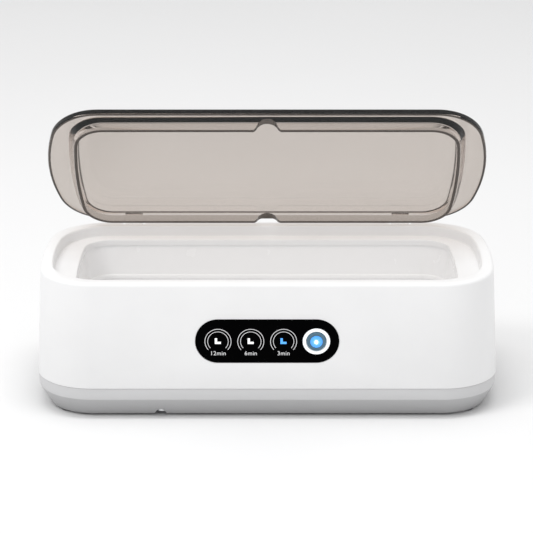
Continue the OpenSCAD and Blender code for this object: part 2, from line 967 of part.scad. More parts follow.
upper_housing();
base_shell();
tank();
tank_gasket();
tank_clips();
tank_clip_screws();
transducer_disc();
transducer_bond();
transducer_lead_red();
transducer_lead_black();
driver_board();
board_screws();
heat_sink();
power_transistors();
transformer_core();
transformer_winding();
ring_choke();
film_capacitors();
electrolytic_capacitor();
controller_chip();
board_connectors();
power_lead_plus();
power_lead_minus();
ribbon_cable();
display_board();
display_board_screws();
dial_leds();
button_leds();
light_shroud();
dial_diffusers();
panel_tape();
panel_lens();
button_ring();
button_cap();
button_lens();
tact_switch();
switch_plunger();
lid();
hinge_pin(-1);  // hinge_pin_left
hinge_pin(1);  // hinge_pin_right
hinge_friction_washers();
dc_jack();
dc_jack_pin();
dc_jack_nut();
base_screws();
foot(corner_spots[0][0], corner_spots[0][1]);  // foot_front_left
foot(corner_spots[1][0], corner_spots[1][1]);  // foot_front_right
foot(corner_spots[2][0], corner_spots[2][1]);  // foot_rear_left
foot(corner_spots[3][0], corner_spots[3][1]);  // foot_rear_right
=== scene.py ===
import json
import math
import bmesh
import bpy
from mathutils import Matrix, Vector


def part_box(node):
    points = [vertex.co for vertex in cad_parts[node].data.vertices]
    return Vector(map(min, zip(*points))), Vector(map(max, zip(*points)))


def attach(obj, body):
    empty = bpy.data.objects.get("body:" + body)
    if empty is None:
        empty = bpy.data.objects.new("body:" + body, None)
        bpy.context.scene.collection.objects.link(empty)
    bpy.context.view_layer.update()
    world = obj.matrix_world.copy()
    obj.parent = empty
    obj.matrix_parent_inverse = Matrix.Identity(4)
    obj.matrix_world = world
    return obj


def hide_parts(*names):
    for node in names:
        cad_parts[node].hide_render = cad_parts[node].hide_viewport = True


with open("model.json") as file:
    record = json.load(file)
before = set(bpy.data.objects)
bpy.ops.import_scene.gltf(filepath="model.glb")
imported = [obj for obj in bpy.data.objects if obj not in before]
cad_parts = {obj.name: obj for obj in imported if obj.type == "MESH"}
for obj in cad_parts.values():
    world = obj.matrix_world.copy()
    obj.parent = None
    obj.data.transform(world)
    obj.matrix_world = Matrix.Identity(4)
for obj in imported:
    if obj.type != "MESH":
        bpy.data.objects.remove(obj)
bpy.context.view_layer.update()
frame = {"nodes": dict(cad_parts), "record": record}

# ---- sizes, in millimetres, that the frame doesn't state by itself ----

MM = 0.001
RIM_W, RIM_D = 199.5, 90.0
CORNER_R, END_BULGE = 25.5, 210.0
WALL = 2.4
BAND_Z, BAND_INSET, BOTTOM_INSET = 9.2, 0.5, 4.9
FLOOR_T = 2.2
RECESS_R, RECESS_BULGE = 23.0, 160.0
TANK_R, TANK_BULGE = 12.4, 400.0
LID_W, LID_D, LID_R, LID_BULGE, LID_T, LID_GAP = 196.0, 81.0, 22.0, 95.0, 3.0, 0.6
LIP_W, LIP_D, LIP_R, LIP_BULGE = 176.4, 77.0, 16.0, 246.0
LIP_ROOT, LIP_EDGE, LIP_LEAN = 4.2, 1.5, 2.6
TONGUE_H = 2.0
LEDGE_T = 2.0
RECESS_W, RECESS_D = 189.0, 78.0
TANK_FIT, TANK_T, TANK_FLANGE, TANK_LEAN = 0.4, 0.8, 3.0, 3.8
WINDOW_R = 5.6
INLET_SEAT_R, INLET_SEAT_DEPTH, INLET_HOLE_R = 6.2, 1.4, 4.05
WELL_X, WELL_Y, WELL_R, WELL_TOP = -46.4, -39.5, 2.95, 4.2
HINGE_POCKET_HALF_W, HINGE_POCKET_R, HINGE_POCKET_REACH = 5.2, 2.2, 8.0
KNUCKLE_HALF_W, KNUCKLE_R, PIN_GAP = 4.0, 1.9, 0.06
NOTCH_HALF_W = 7.0


def mm_box(node):
    """A node's lowest and highest corners at rest, in millimetres."""
    low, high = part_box(node)
    return low / MM, high / MM


housing_low, housing_high = mm_box("upper_housing")
base_low, base_high = mm_box("base_shell")
panel_low, panel_high = mm_box("panel_lens")
ring_low, ring_high = mm_box("button_ring")
cap_low, cap_high = mm_box("button_cap")
lens_low, lens_high = mm_box("button_lens")
gasket_high = mm_box("tank_gasket")[1]
tank_low, tank_high = mm_box("tank")
window_low = mm_box("dial_diffusers")[0]
inlet_low, inlet_high = mm_box("dc_jack")

BODY_W = housing_high.x - housing_low.x
BODY_D = housing_high.y - housing_low.y
RIM_Z = housing_high.z
JOINT_Z = base_high.z - TONGUE_H
BASE_Z = base_low.z
LEDGE_UNDER = gasket_high.z
LEDGE_Z = round(LEDGE_UNDER + LEDGE_T, 2)
TANK_W = tank_high.x - tank_low.x - 2 * (TANK_FIT + TANK_T + TANK_FLANGE)
TANK_D = tank_high.y - tank_low.y - 2 * (TANK_FIT + TANK_T + TANK_FLANGE)
TANK_FLOOR = tank_low.z + TANK_T
FLANGE_TOP = tank_high.z
PANEL_X, PANEL_Z = (panel_low.x + panel_high.x) / 2, (panel_low.z + panel_high.z) / 2
PANEL_FACE, PANEL_BACK = panel_low.y, panel_high.y
BUTTON_X = (ring_low.x + ring_high.x) / 2
RING_R = (ring_high.x - ring_low.x) / 2
DIAL_PITCH = BUTTON_X / 1.5
INLET_X, INLET_Z = (inlet_low.x + inlet_high.x) / 2, (inlet_low.z + inlet_high.z) / 2

joints = {j["name"]: j for j in frame["record"]["behaviour"]["joints"]}
HINGE = Vector(joints["lid_hinge"]["pos_m"])
HINGE_Y, HINGE_Z = HINGE.y / MM, HINGE.z / MM
LID_OPEN = -math.radians(joints["lid_hinge"]["range_deg"][0])


# ---- outlines and skins ----

def arc(cx, cy, r, a0, a1, steps):
    turn = [a0 + (a1 - a0) * i / steps for i in range(steps + 1)]
    return [(cx + r * math.cos(a), cy + r * math.sin(a)) for a in turn]


def outline(w, d, r, bulge, inset=0.0, corner_steps=20, end_steps=8):
    """A rounded box outline with bulged ends, as one closed loop of points."""
    w, d, r, bulge = w - 2 * inset, d - 2 * inset, r - inset, bulge - inset
    end_x, corner_y = w / 2 - bulge, d / 2 - r
    corner_x = end_x + math.sqrt((bulge - r) ** 2 - corner_y ** 2)
    meet = math.atan2(corner_y, corner_x - end_x)
    quarter = arc(end_x, 0, bulge, 0, meet, end_steps)
    quarter += arc(corner_x, corner_y, r, meet, math.pi / 2, corner_steps)[1:]
    half = quarter + [(-x, y) for x, y in reversed(quarter)]
    return half + [(x, -y) for x, y in reversed(half)][1:-1]


def ring(z, flat):
    return [(x, y, z) for x, y in flat]


def new_object(name, mesh, body):
    made = bpy.data.objects.new(name, mesh)
    bpy.context.scene.collection.objects.link(made)
    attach(made, body)
    return made


def to_mesh(bm, name):
    """Turns millimetre bmesh data into a mesh in metres, and frees it."""
    bmesh.ops.recalc_face_normals(bm, faces=bm.faces)
    bmesh.ops.scale(bm, vec=(MM, MM, MM), verts=bm.verts)
    mesh = bpy.data.meshes.new(name)
    bm.to_mesh(mesh)
    bm.free()
    return mesh


def smooth(mesh, sharp=32.0):
    """Shades a mesh smooth, with its edges sharp past an angle in degrees."""
    for face in mesh.polygons:
        face.use_smooth = True
    mesh.set_sharp_from_angle(angle=math.radians(sharp))


def finish_mesh(bm, name, sharp=32.0):
    mesh = to_mesh(bm, name)
    smooth(mesh, sharp)
    return mesh


def loft(rings, looped=False):
    """A closed skin over a stack of equal-length rings, as bmesh data in millimetres."""
    bm = bmesh.new()
    rows = [[bm.verts.new(p) for p in r] for r in rings]
    pairs = list(zip(rows, rows[1:]))
    if looped:
        pairs.append((rows[-1], rows[0]))
    for low, high in pairs:
        for k in range(len(low)):
            m = (k + 1) % len(low)
            bm.faces.new((low[k], low[m], high[m], high[k]))
    if not looped:
        bm.faces.new(list(reversed(rows[0])))
        bm.faces.new(rows[-1])
    return bm


def bend(inset, z, r, start, stop, steps=6):
    """Points (inset, z) on a fillet of radius r about its centre, between angles in degrees."""
    turn = [math.radians(start + (stop - start) * i / steps) for i in range(steps + 1)]
    return [(inset + r * math.cos(a), z + r * math.sin(a)) for a in turn]


def prism(flat, y0, y1):
    """A solid with outline flat in X and Z, running from y0 to y1."""
    bm = bmesh.new()
    near = [bm.verts.new((x, y0, z)) for x, z in flat]
    far = [bm.verts.new((x, y1, z)) for x, z in flat]
    bm.faces.new(near)
    bm.faces.new(list(reversed(far)))
    for k in range(len(near)):
        m = (k + 1) % len(near)
        bm.faces.new((near[m], near[k], far[k], far[m]))
    return bm


def side_prism(flat, x0, x1):
    """A solid with outline flat in Y and Z, running from x0 to x1."""
    bm = prism(flat, x0, x1)
    for v in bm.verts:
        v.co = Vector((v.co.y, v.co.x, v.co.z))
    return bm


def circle(cx, cz, r, steps=48):
    return arc(cx, cz, r, 0, 2 * math.pi, steps)[:-1]


def stadium(cx, cz, w, h, steps=32):
    r, reach = h / 2, (w - h) / 2
    right = arc(cx + reach, cz, r, -math.pi / 2, math.pi / 2, steps)
    left = arc(cx - reach, cz, r, math.pi / 2, 1.5 * math.pi, steps)
    return right + left


def box_prism(x0, x1, y0, y1, z0, z1):
    return prism([(x0, z0), (x1, z0), (x1, z1), (x0, z1)], y0, y1)


def raw_object(bm, name="tool"):
    """An object without a body yet: a cutter, or a piece still to be cut."""
    made = bpy.data.objects.new(name, to_mesh(bm, name))
    bpy.context.scene.collection.objects.link(made)
    return made


def combine(piece, tools, operation):
    """Cuts the tools from a piece, or joins them to it, and removes them."""
    bpy.context.view_layer.objects.active = piece
    for tool in tools:
        step = piece.modifiers.new("step", "BOOLEAN")
        step.operation, step.solver, step.object = operation, "EXACT", tool
        bpy.ops.object.modifier_apply(modifier=step.name)
        bpy.data.objects.remove(tool, do_unlink=True)


# ---- materials ----

class Shade:
    """A Principled material whose colour, roughness and bump come from noise in object space."""

    def __init__(self, name):
        self.material = bpy.data.materials.new(name)
        self.material.use_nodes = True
        self.tree = self.material.node_tree
        self.shader = self.tree.nodes["Principled BSDF"]
        self.where = self.tree.nodes.new("ShaderNodeTexCoord").outputs["Object"]

    def set(self, **values):
        for key, value in values.items():
            self.shader.inputs[key.replace("_", " ")].default_value = value
        return self

    def link(self, a, b):
        self.tree.links.new(a, b)

    def noise(self, size_mm, detail=3.0, stretch=(1, 1, 1), rough=0.5):
        grid = self.tree.nodes.new("ShaderNodeMapping")
        grid.inputs["Scale"].default_value = [s / (size_mm * MM) for s in stretch]
        self.link(self.where, grid.inputs["Vector"])
        noise = self.tree.nodes.new("ShaderNodeTexNoise")
        noise.inputs["Scale"].default_value = 1.0
        noise.inputs["Detail"].default_value = detail
        noise.inputs["Roughness"].default_value = rough
        self.link(grid.outputs["Vector"], noise.inputs["Vector"])
        return noise.outputs["Fac"]

    def span(self, value, low, high):
        node = self.tree.nodes.new("ShaderNodeMapRange")
        node.inputs["From Min"].default_value = 0.3
        node.inputs["From Max"].default_value = 0.7
        node.inputs["To Min"].default_value = low
        node.inputs["To Max"].default_value = high
        self.link(value, node.inputs["Value"])
        return node.outputs["Result"]

    def colours(self, value, low, high):
        ramp = self.tree.nodes.new("ShaderNodeValToRGB")
        ramp.color_ramp.elements[0].position = 0.3
        ramp.color_ramp.elements[1].position = 0.7
        ramp.color_ramp.elements[0].color = (*low, 1)
        ramp.color_ramp.elements[1].color = (*high, 1)
        self.link(value, ramp.inputs["Fac"])
        self.link(ramp.outputs["Color"], self.shader.inputs["Base Color"])
        return self

    def roughness(self, value, low, high):
        self.link(self.span(value, low, high), self.shader.inputs["Roughness"])
        return self

    def bump(self, value, depth_mm, strength=1.0):
        node = self.tree.nodes.new("ShaderNodeBump")
        node.inputs["Distance"].default_value = depth_mm * MM
        node.inputs["Strength"].default_value = strength
        self.link(value, node.inputs["Height"])
        self.link(node.outputs["Normal"], self.shader.inputs["Normal"])
        return self


def moulded(name, colour, shift=0.02, rough=(0.32, 0.40), grain_mm=0.5, depth_mm=0.004, **values):
    """Moulded plastic or rubber: faint mottling in its colour, and a fine spark-eroded grain."""
    shade = Shade(name).set(**values)
    low = tuple(max(c - shift, 0) for c in colour)
    high = tuple(min(c + shift, 1) for c in colour)
    shade.colours(shade.noise(22, 4), low, high)
    shade.roughness(shade.noise(9, 4), *rough)
    shade.bump(shade.noise(grain_mm, 2), depth_mm)
    return shade.material


def drawn_metal(name, colour, shift, rough, stretch, grain_mm, depth_mm):
    """Metal with a fine directional grain."""
    shade = Shade(name).set(Metallic=1.0)
    grain = shade.noise(grain_mm, 5, stretch, 0.65)
    low = tuple(max(c - shift, 0) for c in colour)
    high = tuple(min(c + shift, 1) for c in colour)
    shade.colours(shade.noise(14, 3), low, high)
    shade.roughness(grain, *rough)
    shade.bump(grain, depth_mm)
    return shade.material


def smoked_plastic():
    """Clear smoky plastic: tinted on its faces, with shade painted as dark lines on its edges, and tinted
    by the length of the light's way through it.
    """
    shade = Shade("smoked_plastic").set(Transmission_Weight=1.0, IOR=1.49, Roughness=0.03)
    shade.roughness(shade.noise(18, 4), 0.015, 0.045)
    tree = shade.tree
    # face colour read from the lid's stored colours: smoky top, clear lip, and painted shade as dark
    # lines on the edges
    tint_and_painted_shade = tree.nodes.new("ShaderNodeAttribute")
    tint_and_painted_shade.attribute_name = "tint_and_painted_shade"
    cloud = tree.nodes.new("ShaderNodeMix")
    cloud.data_type, cloud.blend_type = "RGBA", "MULTIPLY"
    cloud.inputs["Factor"].default_value = 1.0
    ramp = tree.nodes.new("ShaderNodeValToRGB")
    ramp.color_ramp.elements[0].color = (0.96, 0.955, 0.95, 1)
    ramp.color_ramp.elements[1].color = (1, 1, 1, 1)
    shade.link(shade.noise(35, 4), ramp.inputs["Fac"])
    shade.link(tint_and_painted_shade.outputs["Color"], cloud.inputs["A"])
    shade.link(ramp.outputs["Color"], cloud.inputs["B"])
    shade.link(cloud.outputs["Result"], shade.shader.inputs["Base Color"])
    through = tree.nodes.new("ShaderNodeBsdfTransparent")
    through.inputs["Color"].default_value = (0.93, 0.92, 0.91, 1)
    path = tree.nodes.new("ShaderNodeLightPath")
    surface = shade.shader.outputs[0]
    for rays in ("Is Diffuse Ray", "Is Shadow Ray"):
        mix = tree.nodes.new("ShaderNodeMixShader")
        shade.link(path.outputs[rays], mix.inputs[0])
        shade.link(surface, mix.inputs[1])
        shade.link(through.outputs[0], mix.inputs[2])
        surface = mix.outputs[0]
    out = tree.nodes["Material Output"]
    shade.link(surface, out.inputs["Surface"])
    smoke = tree.nodes.new("ShaderNodeVolumeAbsorption")
    smoke.inputs["Color"].default_value = (0.50, 0.40, 0.33, 1)
    smoke.inputs["Density"].default_value = 70.0
    shade.link(smoke.outputs[0], out.inputs["Volume"])
    return shade.material


def grey_with_painted_shade():
    """The base grey, with painted shade: a light grey upright band over a chamfer painted darker, and
    darker still towards the bottom, where it faces down away from the light.
    """
    shade = Shade("grey_base")
    tree = shade.tree
    split = tree.nodes.new("ShaderNodeSeparateXYZ")
    shade.link(shade.where, split.inputs[0])
    height = tree.nodes.new("ShaderNodeMapRange")
    height.inputs["From Max"].default_value = JOINT_Z * MM
    shade.link(split.outputs["Z"], height.inputs["Value"])
    wobble = tree.nodes.new("ShaderNodeMath")
    wobble.operation = "MULTIPLY_ADD"
    wobble.inputs[1].default_value = 0.012
    shade.link(shade.noise(6, 4), wobble.inputs[0])
    shade.link(height.outputs["Result"], wobble.inputs[2])
    ramp = tree.nodes.new("ShaderNodeValToRGB")
    crease = BAND_Z / JOINT_Z + 0.006
    # painted shade: the chamfer's grey steps down from the band's and darkens towards the bottom
    marks = ((0.05, 0.34), (crease - 0.012, 0.43), (crease + 0.012, 0.57), (1.0, 0.58))
    for k, (place, grey) in enumerate(marks):
        stop = ramp.color_ramp.elements[k] if k < 2 else ramp.color_ramp.elements.new(place)
        stop.position, stop.color = place, (grey, grey, grey * 1.01, 1)
    shade.link(wobble.outputs[0], ramp.inputs["Fac"])
    shade.link(ramp.outputs["Color"], shade.shader.inputs["Base Color"])
    shade.roughness(shade.noise(9, 4), 0.40, 0.50)
    shade.bump(shade.noise(0.5, 2), 0.005)
    return shade.material


def glowing(name, colour, strength):
    """A lit plastic face: an even glow in its own colour, with roughness that varies in patches."""
    shade = moulded(name, colour, 0.0, (0.2, 0.3), 0.6, 0.002)
    node = shade.node_tree.nodes["Principled BSDF"]
    node.inputs["Emission Color"].default_value = (*colour, 1)
    node.inputs["Emission Strength"].default_value = strength
    return shade


def lit_button():
    """The button's centre: a white hot spot that fades to blue and then to deep blue."""
    shade = Shade("lit_button").set(Roughness=0.25, Coat_Weight=0.4)
    tree = shade.tree
    apart = tree.nodes.new("ShaderNodeVectorMath")
    apart.operation = "DISTANCE"
    apart.inputs[1].default_value = (BUTTON_X * MM, cap_low.y * MM, PANEL_Z * MM)
    shade.link(shade.where, apart.inputs[0])
    ripple = tree.nodes.new("ShaderNodeMath")
    ripple.operation = "MULTIPLY_ADD"
    ripple.inputs[1].default_value = 0.0012
    shade.link(shade.noise(0.9, 2), ripple.inputs[0])
    shade.link(apart.outputs["Value"], ripple.inputs[2])
    per_mm = 0.2
    scale = tree.nodes.new("ShaderNodeMath")
    scale.operation = "MULTIPLY"
    scale.inputs[1].default_value = per_mm / MM
    shade.link(ripple.outputs[0], scale.inputs[0])
    ramp = tree.nodes.new("ShaderNodeValToRGB")
    shade.link(scale.outputs[0], ramp.inputs["Fac"])
    stops = ramp.color_ramp.elements
    stops[0].position, stops[0].color = 0.0, (1, 1, 1, 1)
    stops[1].position, stops[1].color = 3.6 * per_mm, (0.04, 0.24, 0.60, 1)
    rings = ((1.1, (1, 1, 1)), (1.6, (0.17, 0.44, 0.92)), (2.1, (0.06, 0.27, 0.78)))
    for radius, colour in rings:
        stops.new(radius * per_mm).color = (*colour, 1)
    shade.link(ramp.outputs["Color"], shade.shader.inputs["Base Color"])
    shade.link(ramp.outputs["Color"], shade.shader.inputs["Emission Color"])
    shade.set(Emission_Strength=0.9)
    shade.bump(shade.noise(0.3, 2), 0.004)
    return shade.material


def dress(piece, material):
    piece.data.materials.clear()
    piece.data.materials.append(material)


WHITE = moulded("white_casing", (0.82, 0.82, 0.823), 0.010, (0.30, 0.38), 0.45, 0.003, Coat_Weight=0.15)
GREY = grey_with_painted_shade()
ENAMEL = moulded("tank_enamel", (0.865, 0.865, 0.868), 0.002, (0.25, 0.275), 2.6, 0.0005,
                 Coat_Weight=0.2)
SMOKE = smoked_plastic()
BLACK = moulded("black_panel", (0.0006, 0.0006, 0.0008), 0.0003, (0.16, 0.24), 2.0, 0.0005,
                Specular_IOR_Level=0.01)
PRINT = glowing("white_print", (0.92, 0.92, 0.92), 0.35)
GREY_PRINT = glowing("grey_print", (0.66, 0.66, 0.67), 0.22)
BLUE_PRINT = glowing("blue_print", (0.07, 0.34, 0.88), 0.6)
HALO = glowing("light_ring", (0.93, 0.96, 0.98), 0.25)
TEAL = moulded("button_shoulder", (0.06, 0.14, 0.205), 0.012, (0.25, 0.35), 0.5, 0.002,
               Coat_Weight=0.1)
LIT = lit_button()


# ---- casing ----

def body_outline(z, inset):
    share = max(0.0, (z - JOINT_Z) / (RIM_Z - JOINT_Z))
    w, d = BODY_W + share * (RIM_W - BODY_W), BODY_D + share * (RIM_D - BODY_D)
    return ring(z, outline(w, d, CORNER_R, END_BULGE, inset))


def recess_outline(z, inset):
    return ring(z, outline(RECESS_W, RECESS_D, RECESS_R, RECESS_BULGE, inset))


def tank_outline(z, inset):
    return ring(z, outline(TANK_W, TANK_D, TANK_R, TANK_BULGE, inset))


def casing():
    outer_r, inner_r, ledge_r, mouth_r = 1.5, 0.8, 0.6, 0.5
    rings = [body_outline(JOINT_Z + rise, inset) for rise, inset in ((0, 0.3), (0.15, 0.08), (0.35, 0))]
    rings += [body_outline(z, i) for i, z in bend(outer_r, RIM_Z - outer_r, outer_r, 180, 90)]
    rings += [recess_outline(z, i) for i, z in bend(-inner_r, RIM_Z - inner_r, inner_r, 90, 0)]
    rings += [recess_outline(z, i) for i, z in bend(0.2 + ledge_r, LEDGE_Z + ledge_r, ledge_r, 180, 270)]
    rings += [tank_outline(z, i) for i, z in bend(-mouth_r, LEDGE_Z - mouth_r, mouth_r, 90, 0)]
    skirt_z, skirt_t = FLANGE_TOP + 0.05, 0.45
    rings += [tank_outline(skirt_z, 0), tank_outline(skirt_z, -skirt_t)]
    rings += [tank_outline(LEDGE_UNDER, -skirt_t)]
    rings += [body_outline(LEDGE_UNDER, WALL), body_outline(JOINT_Z, WALL)]
    made = raw_object(loft(rings, looped=True), "casing_shell")
    combine(made, casing_cutters(), "DIFFERENCE")
    smooth(made.data)
    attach(made, "casing")
    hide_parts("upper_housing")
    dress(made, WHITE)


def casing_cutters():
    """Panel pocket, dial windows, button hole, inlet seat and hole, and hinge pockets."""
    pocket_y, wall_y = window_low.y, window_low.y + 4
    pocket_w = panel_high.x - panel_low.x + 0.4
    pocket_h = panel_high.z - panel_low.z + 0.4
    pocket = stadium(PANEL_X, PANEL_Z, pocket_w, pocket_h)
    cuts = [prism(pocket, PANEL_FACE - 4, pocket_y)]
    for i in range(3):
        cuts.append(prism(circle((i - 1.5) * DIAL_PITCH, PANEL_Z, WINDOW_R), pocket_y - 1, wall_y))
    cuts.append(prism(circle(BUTTON_X, PANEL_Z, RING_R + 0.15), pocket_y - 1, wall_y))
    rear_y = inlet_high.y
    seat = circle(INLET_X, INLET_Z, INLET_SEAT_R)
    cuts.append(prism(seat, rear_y - INLET_SEAT_DEPTH, rear_y + 4))
    cuts.append(prism(circle(INLET_X, INLET_Z, INLET_HOLE_R), rear_y - 6, rear_y + 4))
    y0, y1 = HINGE_Y - HINGE_POCKET_R, HINGE_Y + HINGE_POCKET_REACH
    z0, z1 = HINGE_Z - HINGE_POCKET_R, HINGE_Z + HINGE_POCKET_REACH
    for x, _ in hinge_pins():
        x0, x1 = x - HINGE_POCKET_HALF_W, x + HINGE_POCKET_HALF_W
        cuts.append(box_prism(x0, x1, y0, y1, z0, z1))
    return [raw_object(cut) for cut in cuts]


def hinge_pins():
    """The middle in X and the radius of each hinge pin."""
    pins = []
    for side in ("left", "right"):
        low, high = mm_box("hinge_pin_" + side)
        pins.append(((low.x + high.x) / 2, (high.z - low.z) / 2))
    return pins


def base():
    tongue, inside = WALL + 0.2, WALL + 1.4

    def edge(z, inset):
        return ring(z, outline(BODY_W, BODY_D, CORNER_R, END_BULGE, inset))

    rings = [edge(BASE_Z, BOTTOM_INSET + 0.7), edge(BASE_Z + 0.06, BOTTOM_INSET + 0.28)]
    rings += [edge(BASE_Z + 0.28, BOTTOM_INSET), edge(BASE_Z + 0.7, BOTTOM_INSET - 0.22)]
    rings += [edge(BAND_Z - 0.55, BAND_INSET + 0.26), edge(BAND_Z - 0.2, BAND_INSET + 0.1)]
    rings += [edge(BAND_Z + 0.15, BAND_INSET - 0.02), edge(BAND_Z + 0.6, BAND_INSET - 0.1)]
    rings += [edge(JOINT_Z - 0.35, 0.24), edge(JOINT_Z - 0.12, 0.3), edge(JOINT_Z - 0.02, 0.5)]
    rings += [edge(JOINT_Z - 0.02, tongue), edge(JOINT_Z + TONGUE_H, tongue)]
    rings += [edge(JOINT_Z + TONGUE_H, inside)]
    rings += [edge(BAND_Z, inside), edge(BASE_Z + FLOOR_T, BOTTOM_INSET + 2)]
    made = raw_object(loft(rings), "base_moulding")
    tools = []
    for corner in ("front_left", "front_right", "rear_left", "rear_right"):
        low, high = mm_box("foot_" + corner)
        x, y, r = (low.x + high.x) / 2, (low.y + high.y) / 2, (high.x - low.x) / 2 + 0.1
        tools.append(upright(circle(x, y, r), BASE_Z - 2, high.z + 0.1))
    tools.append(upright(circle(WELL_X, WELL_Y, WELL_R), BASE_Z - 1, WELL_TOP))
    combine(made, tools, "DIFFERENCE")
    smooth(made.data)
    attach(made, "casing")
    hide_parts("base_shell")
    dress(made, GREY)


def upright(flat, z0, z1):
    """A solid with outline flat in X and Y, running from z0 to z1."""
    bm = bmesh.new()
    low = [bm.verts.new((x, y, z0)) for x, y in flat]
    high = [bm.verts.new((x, y, z1)) for x, y in flat]
    bm.faces.new(list(reversed(low)))
    bm.faces.new(high)
    for k in range(len(low)):
        m = (k + 1) % len(low)
        bm.faces.new((low[k], low[m], high[m], high[k]))
    return raw_object(bm)


def tank():
    floor_r = 4.0
    level_z = LEDGE_Z - 17.3
    span = FLANGE_TOP - TANK_FLOOR

    def wall_ring(z, extra):
        return tank_outline(z, extra - TANK_FIT + TANK_LEAN * (FLANGE_TOP - z) / span)

    outside = [wall_ring(z, i) for i, z in bend(floor_r, tank_low.z + floor_r, floor_r, 270, 180)]
    rings = [grow(r, TANK_T) for r in outside]
    flange_edge = -TANK_T - TANK_FLANGE
    rings += [wall_ring(FLANGE_TOP - TANK_T, -TANK_T), wall_ring(FLANGE_TOP - TANK_T, flange_edge)]
    rings += [wall_ring(FLANGE_TOP, flange_edge), wall_ring(FLANGE_TOP, 0.0)]
    level_line = ((1.0, 0.0), (0.7, 0.28), (0.3, 0.35), (-0.6, 0.35), (-1.0, 0.28), (-1.3, 0.0))
    rings += [wall_ring(level_z + rise, inset) for rise, inset in level_line]
    rings += [wall_ring(z, i) for i, z in bend(floor_r, TANK_FLOOR + floor_r, floor_r, 180, 270, 8)]
    bm = loft(rings)
    made = new_object("tank_pan", finish_mesh(bm, "tank_pan"), "casing")
    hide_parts("tank")
    dress(made, ENAMEL)


def grow(points, by):
    """Moves a ring outwards in plan by a fixed distance along the line from its middle."""
    moved = []
    for x, y, z in points:
        length = math.hypot(x, y)
        moved.append((x + by * x / length, y + by * y / length, z))
    return moved


# ---- lid ----

def plate_outline(z, inset):
    return ring(z, outline(LID_W, LID_D, LID_R, LID_BULGE, inset))


def lip_outline(z, inset):
    return ring(z, outline(LIP_W, LIP_D, LIP_R, LIP_BULGE, inset))


def lid():
    under = RIM_Z + LID_GAP
    foot_z = LEDGE_Z + 0.1
    top = under + LID_T
    flat_edge = LIP_LEAN + LIP_EDGE
    rings = [lip_outline(under, LIP_ROOT + 0.6), lip_outline(under - 0.1, LIP_ROOT + 0.12)]
    rings += [lip_outline(under - 0.45, LIP_ROOT), lip_outline(under - 0.7, LIP_ROOT)]
    rings += [lip_outline(foot_z + 0.4, flat_edge + 0.05)]
    rings += [lip_outline(foot_z + 0.1, flat_edge - 0.1), lip_outline(foot_z, flat_edge - 0.35)]
    rings += [lip_outline(foot_z, LIP_LEAN + 0.35), lip_outline(foot_z + 0.1, LIP_LEAN + 0.1)]
    rings += [lip_outline(foot_z + 0.4, LIP_LEAN - 0.15), lip_outline(under - 0.5, 0.22)]
    rings += [lip_outline(under - 0.12, 0.0), lip_outline(under, -0.3)]
    rings += [plate_outline(under, i) for i in (1.35, 1.15, 0.6)]
    rings += [plate_outline(under + 0.08, 0.3), plate_outline(under + 0.3, 0.06)]
    rings += [plate_outline(under + 0.5, 0)]
    rings += [plate_outline(z, i) for i, z in bend(1.1, top - 1.1, 1.1, 180, 90, 8)]
    made = raw_object(loft(rings), "lid_shell")
    arm_y, arm_z = LID_D / 2 - 2, under + 0.4
    barrel = arc(HINGE_Y, HINGE_Z, KNUCKLE_R, -math.pi, 0.05, 20)
    shoulder = arc(HINGE_Y - 0.6, under + 1.2, 1.2, 0.0, math.pi / 2, 8)
    arm = [(arm_y, arm_z + 2), (arm_y, arm_z), (HINGE_Y - KNUCKLE_R, arm_z)]
    lugs, bores = [], []
    for x, pin_r in hinge_pins():
        lug = side_prism(barrel + shoulder + arm, x - KNUCKLE_HALF_W, x + KNUCKLE_HALF_W)
        lugs.append(raw_object(lug))
        bore = circle(HINGE_Y, HINGE_Z, pin_r + PIN_GAP, 32)
        bores.append(raw_object(side_prism(bore, x - KNUCKLE_HALF_W - 2, x + KNUCKLE_HALF_W + 2)))
    combine(made, lugs, "UNION")
    notches = raw_object(prism(notch_outline(foot_z), -LIP_D, LIP_D))
    combine(made, [notches] + bores, "DIFFERENCE")
    paint_lid_tint_and_shade(made, under, foot_z, top)
    turn = Matrix.Translation(HINGE) @ Matrix.Rotation(-LID_OPEN, 4, "X") @ Matrix.Translation(-HINGE)
    made.data.transform(turn)
    smooth(made.data, 40)
    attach(made, "lid_body")
    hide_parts("lid")
    dress(made, SMOKE)


